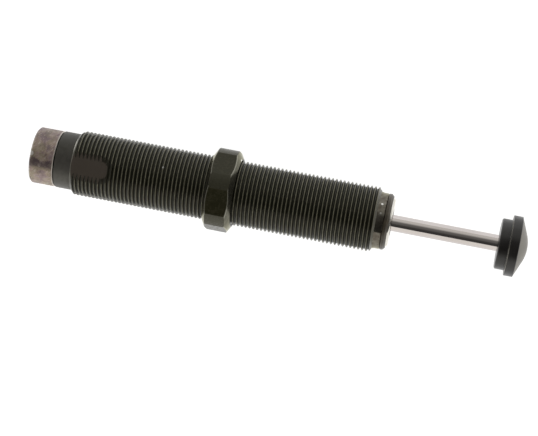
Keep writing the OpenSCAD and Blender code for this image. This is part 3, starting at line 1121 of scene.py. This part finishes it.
@dataclass
class RearEnd(TurnedPart):
    """The rear plug with its fill screw."""

    black: Material  # the fill screw's material
    head_chamfer: float = 0.5 * MM  # depth of the rounding on the plug's rear edge
    round_mid: Pair = (0.4 * MM, 0.075 * MM)  # its middle, from the rear face and from the side
    round_l: float = 0.6 * MM  # its length
    rim: float = 0.35 * MM  # chamfer at the front of the plug's head
    gap: float = 0.45 * MM  # between the plug's head and the housing
    break_edge: float = 0.2 * MM  # broken edge at the mouth of the screw's well
    passage_r: float = 1.1 * MM  # radius of the oil passage
    screw_edge: float = 0.3 * MM  # chamfer on both ends of the screw
    socket: float = 3.0 * MM  # distance across the flats of the screw's socket
    mouth: float = 0.25 * MM  # depth of the chamfer at the socket's mouth
    tip: float = 0.7 * MM  # depth of the drill point at its bottom

    def plug(self) -> None:
        """Makes the plug."""
        low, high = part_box("rear_plug")
        radius, shank, spigot = high.z, radius_of("plug_o_ring"), radius_of("spring_seat")
        head, front = rear_of("outer_body") - self.gap, rear_of("pressure_tube")
        well, well_r = front_of("fill_seal"), radius_of("fill_screw") + HAIR
        middle = self.round_mid
        plug = self.turn("rear_plug_piece", [
            (well, self.passage_r), (well, well_r), (low.x + self.break_edge, well_r),
            (low.x, well_r + self.break_edge), (low.x, radius - self.head_chamfer),
            (low.x + middle[0], radius - middle[1]), (low.x + self.round_l, radius),
            (head - self.rim, radius), (head, radius - self.rim), (head, shank),
            *ring_groove("plug_o_ring"), (front, shank), (front, spigot), (high.x, spigot),
            (high.x, self.passage_r), (well, self.passage_r)], 128)
        hand_over(plug, Body.HOUSING, "rear_plug")

    def screw(self) -> None:
        """Makes the fill screw with its hexagon socket."""
        low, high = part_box("fill_screw")
        radius, soft = high.z, self.screw_edge
        screw = self.turn("fill_screw_piece", [
            (low.x, 0.0), (low.x, radius - soft), (low.x + soft, radius),
            (high.x - soft, radius), (high.x, radius - soft), (high.x, 0.0)], 64, self.black)
        corner = self.socket / 2 * HEX_CORNER
        bottom = (low.x + high.x) / 2
        socket = self.turn("screw_socket", [
            (low.x - OVER, 0.0), (low.x - OVER, corner + OVER), (low.x + self.mouth, corner),
            (bottom, corner), (bottom + self.tip, 0.0)], 6, self.black)
        screw = cut(screw, Cut.TAKE_OFF, socket)
        hand_over(screw, Body.HOUSING, "fill_screw")

    def build(self) -> None:
        """Makes the plug and the screw."""
        self.plug()
        self.screw()


@dataclass
class Gland(TurnedPart):
    """The gland in the housing's mouth, with a collar and a boss round the rod, and its wiper."""

    rubber: Material  # the wiper's material
    collar_gap: float = 0.05 * MM  # gap between the collar and the housing's neck
    collar_edge: float = 0.15 * MM  # broken edge on the collar's rear
    chamfer: float = 0.8 * MM  # chamfer on the collar's front edge
    chamfer_edge: float = 0.1 * MM  # rounding where it meets the front face
    boss_step: float = 1.5 * MM  # step in radius from the collar to the boss
    boss_h: float = 0.8 * MM  # height of the boss
    edge: float = 0.3 * MM  # broken edge on the shank
    rod_gap: float = 0.15 * MM  # gap round the rod
    seal_gap: float = 0.3 * MM  # gap ahead of the rod seal
    lip_l: float = 0.8 * MM  # length of the wiper's lip on the rod
    relief_l: float = 1.0 * MM  # length of the slope behind it
    lip_tip: Pair = (0.2 * MM, 0.35 * MM)  # height of its front edge, before and behind
    tip_l: float = 0.1 * MM  # length of that edge
    lip_root: float = 0.45 * MM  # height of the wiper's foot over the rod
    lip_neck: float = 0.25 * MM  # radius of the hollow between its foot and its lip
    lip_edge: float = 0.15 * MM  # broken edges of its foot

    def body(self) -> None:
        """Makes the gland itself."""
        low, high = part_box("gland")
        collar_r, shank = high.z, radius_of("gland_o_ring")
        collar, face = front_of("outer_body") + self.collar_gap, high.x - self.boss_h
        pocket, wiper_r = (radius_of(node) + HAIR for node in ("rod_seal", "wiper"))
        rod_hole = radius_of("piston_rod") + self.rod_gap
        seal_front, wiper_rear = front_of("rod_seal") + self.seal_gap, rear_of("wiper")
        boss_r = collar_r - self.boss_step
        piece = self.turn("gland_piece", [
            (low.x, pocket), (low.x, shank - self.edge), (low.x + self.edge, shank),
            *ring_groove("gland_o_ring"), (collar, shank), (collar, collar_r - self.collar_edge),
            (collar + self.collar_edge, collar_r), (face - self.chamfer, collar_r),
            (face - self.chamfer_edge, collar_r - self.chamfer + self.chamfer_edge),
            (face, collar_r - self.chamfer), (face, boss_r),
            *arc((face, boss_r - self.boss_h), self.boss_h, 80, 10, 6),
            (high.x, boss_r - self.boss_h), (high.x, wiper_r), (wiper_rear, wiper_r),
            (wiper_rear, rod_hole), (seal_front, rod_hole), (seal_front, pocket),
            (low.x, pocket)], 128)
        hand_over(piece, Body.HOUSING, "gland")

    def wiper(self) -> None:
        """Makes the wiper, whose lip hugs the rod."""
        low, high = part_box("wiper")
        outer, lip = high.z, radius_of("piston_rod") + HAIR
        back, middle = lip + self.lip_root, (outer + lip) / 2
        shoulder = high.x - (high.x - low.x) / 3
        edge, neck, slope = self.lip_edge, self.lip_neck, high.x - self.lip_l
        tip_low, tip_high = self.lip_tip
        piece = self.turn("wiper_piece", [
            (low.x, back), (low.x, outer - edge), (low.x + edge, outer),
            (shoulder - edge, outer), (shoulder, outer - edge), (shoulder, middle + neck),
            *arc((shoulder + neck, middle + neck), neck, 180, 270, 3),
            (high.x - self.tip_l, lip + tip_high), (high.x, lip + tip_low), (high.x, lip),
            (slope, lip), (slope - self.relief_l, back), (low.x, back)], finish=self.rubber)
        hand_over(piece, Body.HOUSING, "wiper")

    def build(self) -> None:
        """Makes the gland and the wiper."""
        self.body()
        self.wiper()


@dataclass
class PistonRod(TurnedPart):
    """The chromed piston rod."""

    stub_r: float = 1.75 * MM  # radius of the stub that carries the piston
    stud_share: float = 0.8  # radius of the stud in the button, as a share of the rod's
    edge: float = 0.25 * MM  # chamfer on both ends

    def build(self) -> None:
        """Makes the rod."""
        low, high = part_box("piston_rod")
        radius, stud = high.z, high.z * self.stud_share
        shoulder, button = front_of("piston"), rear_of("button")
        piece = self.turn("piston_rod_piece", [
            (low.x, 0.0), (low.x, self.stub_r - self.edge), (low.x + self.edge, self.stub_r),
            (shoulder, self.stub_r), (shoulder, radius), (button, radius), (button, stud),
            (high.x - self.edge, stud), (high.x, stud - self.edge), (high.x, 0.0)])
        hand_over(piece, Body.ROD, "piston_rod")


@dataclass
class ImpactButton(TurnedPart):
    """The button: a rear collar, a rim and a conical crown with a round nose."""

    hub_r: float = 9.6 * MM  # radius of the collar
    hub_l: float = 3.6 * MM  # length of the collar
    hub_chamfer: float = 0.7 * MM  # rounding of its rear edge
    shoulder: float = 0.35 * MM  # depth of the shallow cone on the rear of the rim
    relief: float = 0.4 * MM  # space between the collar and the rim
    head_l: float = 3.4 * MM  # length of the rim
    slope_deg: float = 23.0  # slope of the crown
    nose_r: float = 14.0 * MM  # radius of the nose
    edge: float = 0.15 * MM  # rounding of the rim's rear edge
    root: Pair = (0.6, 0.1 * MM)  # the cone's foot: its share of the depth, and its height
    crown_edge: float = 0.1 * MM  # rounding of the crown's edge
    crown_edge_deg: float = 22.0  # where the rounding ends, against the slope
    bare_l: float = 3.5 * MM  # length of the bare crown
    bottom_gap: float = 0.3 * MM  # gap ahead of the rod's stud

    def build(self) -> None:
        """Makes the button."""
        low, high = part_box("button")
        rim, hub, soft = high.z, self.hub_r - self.hub_chamfer, self.crown_edge
        stud = radius_of("piston_rod") * PistonRod.stud_share + HAIR
        bottom = front_of("piston_rod") + self.bottom_gap
        head = low.x + self.hub_l + self.relief
        crown = head + self.head_l
        root_share, root_h = self.root
        slope = math.radians(self.slope_deg)
        top = crown + (rim - soft - self.nose_r * math.sin(slope)) * math.tan(slope)
        centre = (top - self.nose_r * math.cos(slope), 0.0)
        piece = self.turn("button_piece", [
            (bottom, 0.0), (bottom, stud), (low.x, stud), (low.x, hub),
            *arc((low.x + self.hub_chamfer, hub), self.hub_chamfer, 160, 95, 4),
            (head - self.shoulder, self.hub_r),
            (head - self.shoulder * root_share, self.hub_r + root_h), (head, rim - self.edge),
            *arc((head + self.edge, rim - self.edge), self.edge, 150, 90, 3),
            *arc((crown - soft, rim - soft), soft, 90, self.crown_edge_deg, 3),
            *arc(centre, self.nose_r, self.slope_deg, 0, 16)], 160)
        hand_over(piece, Body.ROD, "button")


@dataclass
class ReturnSpring:
    """The return spring, a round wire with its last turns closed."""

    sweep: Sweep  # what runs the wire along its path
    finish: Material  # the spring's material
    wire_r: float = 0.6 * MM  # radius of the wire
    drawn: float = 0.995  # its share that the sides take, so that they stay inside
    sides: int = 12  # faces round the wire
    turns: float = 12.5  # number of turns
    closed: float = 1.0  # closed turns at each end
    pitch_share: float = 1.04  # pitch of the closed turns, in wire diameters
    points: int = 48  # points on the path in each turn

    def rise(self, turn: float, length: float) -> float:
        """How far the wire has come along the axis.

        Args:
            turn: the number of turns from its start.
            length: the length of the whole path.

        Returns:
            The distance in metres.
        """
        closed_pitch = self.pitch_share * 2 * self.wire_r
        open_pitch = (length - 2 * self.closed * closed_pitch) / (self.turns - 2 * self.closed)
        rear = min(turn, self.closed)
        front = max(0.0, turn - (self.turns - self.closed))
        return (rear + front) * closed_pitch + (turn - rear - front) * open_pitch

    def build(self) -> None:
        """Makes the spring as one still mesh; the real one is pressed together as the rod goes in.
        """
        low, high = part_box("return_spring")
        radius, whole = high.z - self.wire_r, high.x - low.x
        turns = [i / self.points for i in range(round(self.turns * self.points) + 1)]
        path = [(low.x + self.wire_r + self.rise(t, whole - 2 * self.wire_r),
                 radius * math.cos(2 * math.pi * t), radius * math.sin(2 * math.pi * t))
                for t in turns]
        spring = self.sweep.make("return_spring_piece", path, self.finish, {
            "Wire radius": self.wire_r * self.drawn, "Sides": self.sides})
        hand_over(spring, Body.HOUSING, "return_spring", 60)
        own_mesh(spring)


# ---- Studio ----


@dataclass
class Studio:
    """The floor, the soft light and the camera."""

    roll_deg: float = 10.96  # how far the axis drops to the right
    toward_front_deg: float = 5.94  # how far the camera stands towards the button from square on
    toward_back_deg: float = 19.66  # how far it stands past the vertical
    distance: float = 0.613  # from the lens to the aim point on the axis
    aim_x: float = -40.1 * MM  # that point's place on the axis
    aim_right: float = 1.33 * MM  # how far it lies right of the middle of the view
    aim_up: float = 6.91 * MM  # how far it lies above it
    focal: float = 108.07  # focal length in millimetres, for a frame 36 wide
    floor_size: float = 4.0  # side of the square floor
    floor_grey: Colour = (0.4, 0.4, 0.4)  # its colour
    floor_glow: float = 0.95  # its own light, which keeps it pale right under the object
    light_colour: Colour = (1.0, 0.985, 0.94)  # colour of the light
    ceiling: float = 0.06  # strength of the light from right above
    front_light: float = 1.1  # strength of the bank on the side towards -Y
    front_deg: Pair = (32.0, 35.0)  # where it fades in
    back_light: float = 0.6  # strength of the bank across from it
    back_deg: Pair = (32.0, 64.0)  # where that one fades in
    glimmer: float = 0.12  # strength of the light above the back bank
    glimmer_deg: Pair = (-5.0, 25.0)  # where that light fades in

    def camera(self) -> None:
        """Places the camera."""
        front, back, roll = radians(self.toward_front_deg, self.toward_back_deg, self.roll_deg)
        behind = Vector((math.sin(front), math.cos(front) * math.sin(back),
                         math.cos(front) * math.cos(back)))
        axis = Vector((1, 0, 0))
        level = (axis - axis.dot(behind) * behind).normalized()
        right = math.cos(roll) * level + math.sin(roll) * behind.cross(level)
        up = behind.cross(right)
        place = (Vector((self.aim_x, 0, 0)) - self.aim_right * right - self.aim_up * up
                 + self.distance * behind)
        data = bpy.data.cameras.new("camera")
        data.lens, data.sensor_width, data.clip_start = self.focal, 36.0, 0.01
        made = new_object("camera", data)
        made.matrix_world = Matrix.Translation(place) @ Matrix(
            (right, up, behind)).transposed().to_4x4()
        bpy.context.scene.camera = made

    def floor(self) -> None:
        """Lays a plain white table top under the lock nut."""
        height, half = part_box("lock_nut")[0].z, self.floor_size / 2
        mesh = bpy.data.meshes.new("floor")
        corners = ((-half, -half), (half, -half), (half, half), (-half, half))
        mesh.from_pydata([(x, y, height) for x, y in corners], [], [(0, 1, 2, 3)])
        made = bpy.data.materials.new("table_white")
        tree = Tree.of(made)
        surface = tree.node("ShaderNodeBsdfPrincipled", {}, {
            "Base Color": self.floor_grey, "Roughness": 0.8,
            "Emission Color": (1.0, 1.0, 1.0), "Emission Strength": self.floor_glow})
        tree.node("ShaderNodeOutputMaterial", {}, {"Surface": surface})
        mesh.materials.append(made)
        new_object("floor", mesh)

    def light(self) -> None:
        """Lights the object softly from both sides, with a dark ceiling between them."""
        world = bpy.data.worlds.new("studio")
        bpy.context.scene.world = world
        tree = Tree.of(world)
        lean = Spot(tree, "Generated").lean
        strength = self.ceiling + lean.ramp(*radians(*self.front_deg)) * self.front_light
        strength += (-lean).ramp(*radians(*self.glimmer_deg)) * self.glimmer
        strength += (-lean).ramp(*radians(*self.back_deg)) * self.back_light
        glow = tree.node("ShaderNodeBackground", {}, {
            "Color": self.light_colour, "Strength": strength})
        tree.node("ShaderNodeOutputWorld", {}, {"Surface": glow})

    def build(self) -> None:
        """Sets up the studio."""
        self.camera()
        self.floor()
        self.light()
        bpy.context.scene.view_settings.view_transform = "Standard"


# ---- The finishes and the whole ----


def body_finish() -> Finish:
    """The housing's finish, with a bare neck."""
    flat, normal = mount("wrench_flat")
    rear = rear_of("outer_body") + ThreadedBody.tail_l
    return ThreadFinish(
        "black_oxide_body", (0.05, 0.048, 0.032), (0.034, 0.031, 0.024), patch_size=1.6 * MM,
        patch_share=0.9, rough=0.3, turning=0.3, sheen=(1.0, 0.985, 0.86),
        specks=(Speck((-82.0 * MM, 7.8 * MM, 9.75 * MM), 0.45 * MM),
                # the two specks on the neck are painted highlights of a small stake mark
                Speck((1.4 * MM, 8.65 * MM, 6.3 * MM), 0.42 * MM, 0.75),
                Speck((1.5 * MM, 5.92 * MM, 8.91 * MM), 0.4 * MM, 0.25)),
        zone_from=ThreadedBody.cone[1], zone_to=front_of("outer_body"),
        zone_base=(0.155, 0.145, 0.122), zone_tint=(0.085, 0.072, 0.058), zone_metal=0.9,
        zone_rough=0.1,
        crest_r=radius_of("outer_body") - ThreadedBody.crest_under,
        grooved_from=rear + ThreadedBody.tail_step, grooved_to=ThreadedBody.cone[0],
        flat_normal=tuple(normal), flat_height=flat.dot(normal),
        run_out_to=rear + ThreadedBody.flat_l)


def nut_finish() -> Finish:
    """The lock nut's finish, with smooth chamfers."""
    low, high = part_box("lock_nut")
    slope = math.tan(math.radians(LockNut.chamfer_deg))
    return TurnedFinish(
        "black_oxide_nut", (0.023, 0.022, 0.0105), (0.033, 0.03, 0.0155), patch_size=1.2 * MM,
        patch_share=0.9, rough=0.2, specular=0.22, sheen=(1.0, 0.985, 0.84),
        specks=(Speck((-53.85 * MM, 13.2 * MM, 0.8 * MM), 0.6 * MM),),
        zone_from=low.x, zone_to=high.x, zone_base=(0.12, 0.116, 0.095),
        zone_tint=(0.08, 0.077, 0.062), zone_metal=0.85, zone_rough=0.16,
        rim_r=high.y, flat_r=high.z, chamfer_l=LockNut.chamfer * slope, chamfer_slope=slope)


def plug_finish() -> Finish:
    """The rear plug's finish, with a paler rear edge."""
    return TemperedFinish(
        "tempered_steel", (0.42, 0.325, 0.265), (0.31, 0.23, 0.21), patch_size=2.5 * MM,
        metal=0.35, rough=0.42, turning=0.4,
        specks=(Speck((-132.6 * MM, 3.7 * MM, 10.1 * MM), 0.9 * MM, 0.5),),
        zone_from=-1.0, zone_to=rear_of("rear_plug") + RearEnd.round_l + SKIN,
        zone_base=(0.6, 0.54, 0.49),
        zone_tint=(0.4, 0.35, 0.32), zone_metal=0.5, zone_rough=0.4,
        rim_at=rear_of("outer_body") - RearEnd.gap,
        skin_r=radius_of("rear_plug") - RearEnd.head_chamfer)


def button_finish() -> Finish:
    """The button's finish, with a bare crown."""
    crown = mount("button_crown")[0].x - ImpactButton.bare_l
    return ButtonFinish(
        "black_oxide_button", (0.011, 0.0095, 0.009), (0.017, 0.0155, 0.014), rough=0.27,
        turning=0.4, specular=0.52, zone_from=crown, zone_base=(0.17, 0.152, 0.115),
        zone_tint=(0.12, 0.11, 0.095), zone_metal=0.0, zone_rough=0.35,
        cone_at=rear_of("button") + ImpactButton.hub_l + ImpactButton.relief)


def finishes() -> dict[str, Finish]:
    """The finish of each material slot."""
    return {
        "body_steel": body_finish(),
        "nut_steel": nut_finish(),
        "plug_steel": plug_finish(),
        "black_steel": button_finish(),
        "gland_steel": ZonedFinish(
            "blackened_gland", (0.075, 0.061, 0.042), (0.045, 0.037, 0.027), patch_size=2 * MM,
            patch_share=0.9, rough=0.3, turning=0.3, sheen=(1.0, 0.98, 0.92),
            zone_from=front_of("gland") - Gland.boss_h + SKIN,
            zone_base=(0.68, 0.66, 0.62), zone_tint=(0.6, 0.58, 0.55), zone_rough=0.13),
        "bare_steel": Finish(
            "turned_steel", (0.42, 0.42, 0.43), (0.34, 0.34, 0.35), metal=1.0, rough=0.3,
            turning=0.6),
        "ring_iron": Finish(
            "ring_iron", (0.16, 0.14, 0.13), (0.1, 0.09, 0.085), metal=0.8, rough=0.45),
        "bronze": Finish(
            "bearing_bronze", (0.5, 0.33, 0.14), (0.4, 0.25, 0.1), metal=1.0, turning=0.5),
        "rod_chrome": Finish(
            "hard_chrome", (0.57, 0.53, 0.515), (0.5, 0.46, 0.445), patch_size=20 * MM,
            patch_share=0.4, metal=1.0, rough=0.08, rough_spread=0.04, turning=0.15, grain=0.03),
        "seal_rubber": Finish(
            "seal_rubber", (0.012, 0.012, 0.012), (0.02, 0.02, 0.02), rough=0.6, grain=0.3,
            specular=0.35),
        "foam": Finish(
            "closed_cell_foam", (0.1, 0.1, 0.11), (0.07, 0.07, 0.075), patch_size=0.8 * MM,
            rough=0.9, grain=1.0, specular=0.2),
    }


def dress_nodes(materials: dict[str, Material]) -> None:
    """Gives every CAD node the material of its slot."""
    for part in frame["record"]["subparts"]:
        node = frame["nodes"][part["node"]]
        node.data.materials.clear()
        node.data.materials.append(materials[part["material_slot"]])


def main() -> None:
    """Builds the studio, the finishes and the pieces."""
    logging.basicConfig(level=logging.INFO, format="%(name)s: %(message)s")
    Studio().build()
    materials = {slot: finish.material() for slot, finish in finishes().items()}
    dress_nodes(materials)
    lathe = Lathe()
    ThreadedBody(lathe, materials["body_steel"]).build()
    LockNut(lathe, materials["nut_steel"]).build()
    RearEnd(lathe, materials["plug_steel"], materials["black_steel"]).build()
    Gland(lathe, materials["gland_steel"], materials["seal_rubber"]).build()
    ImpactButton(lathe, materials["black_steel"]).build()
    PistonRod(lathe, materials["rod_chrome"]).build()
    ReturnSpring(Sweep(), materials["bare_steel"]).build()


if __name__ == "__main__":
    main()
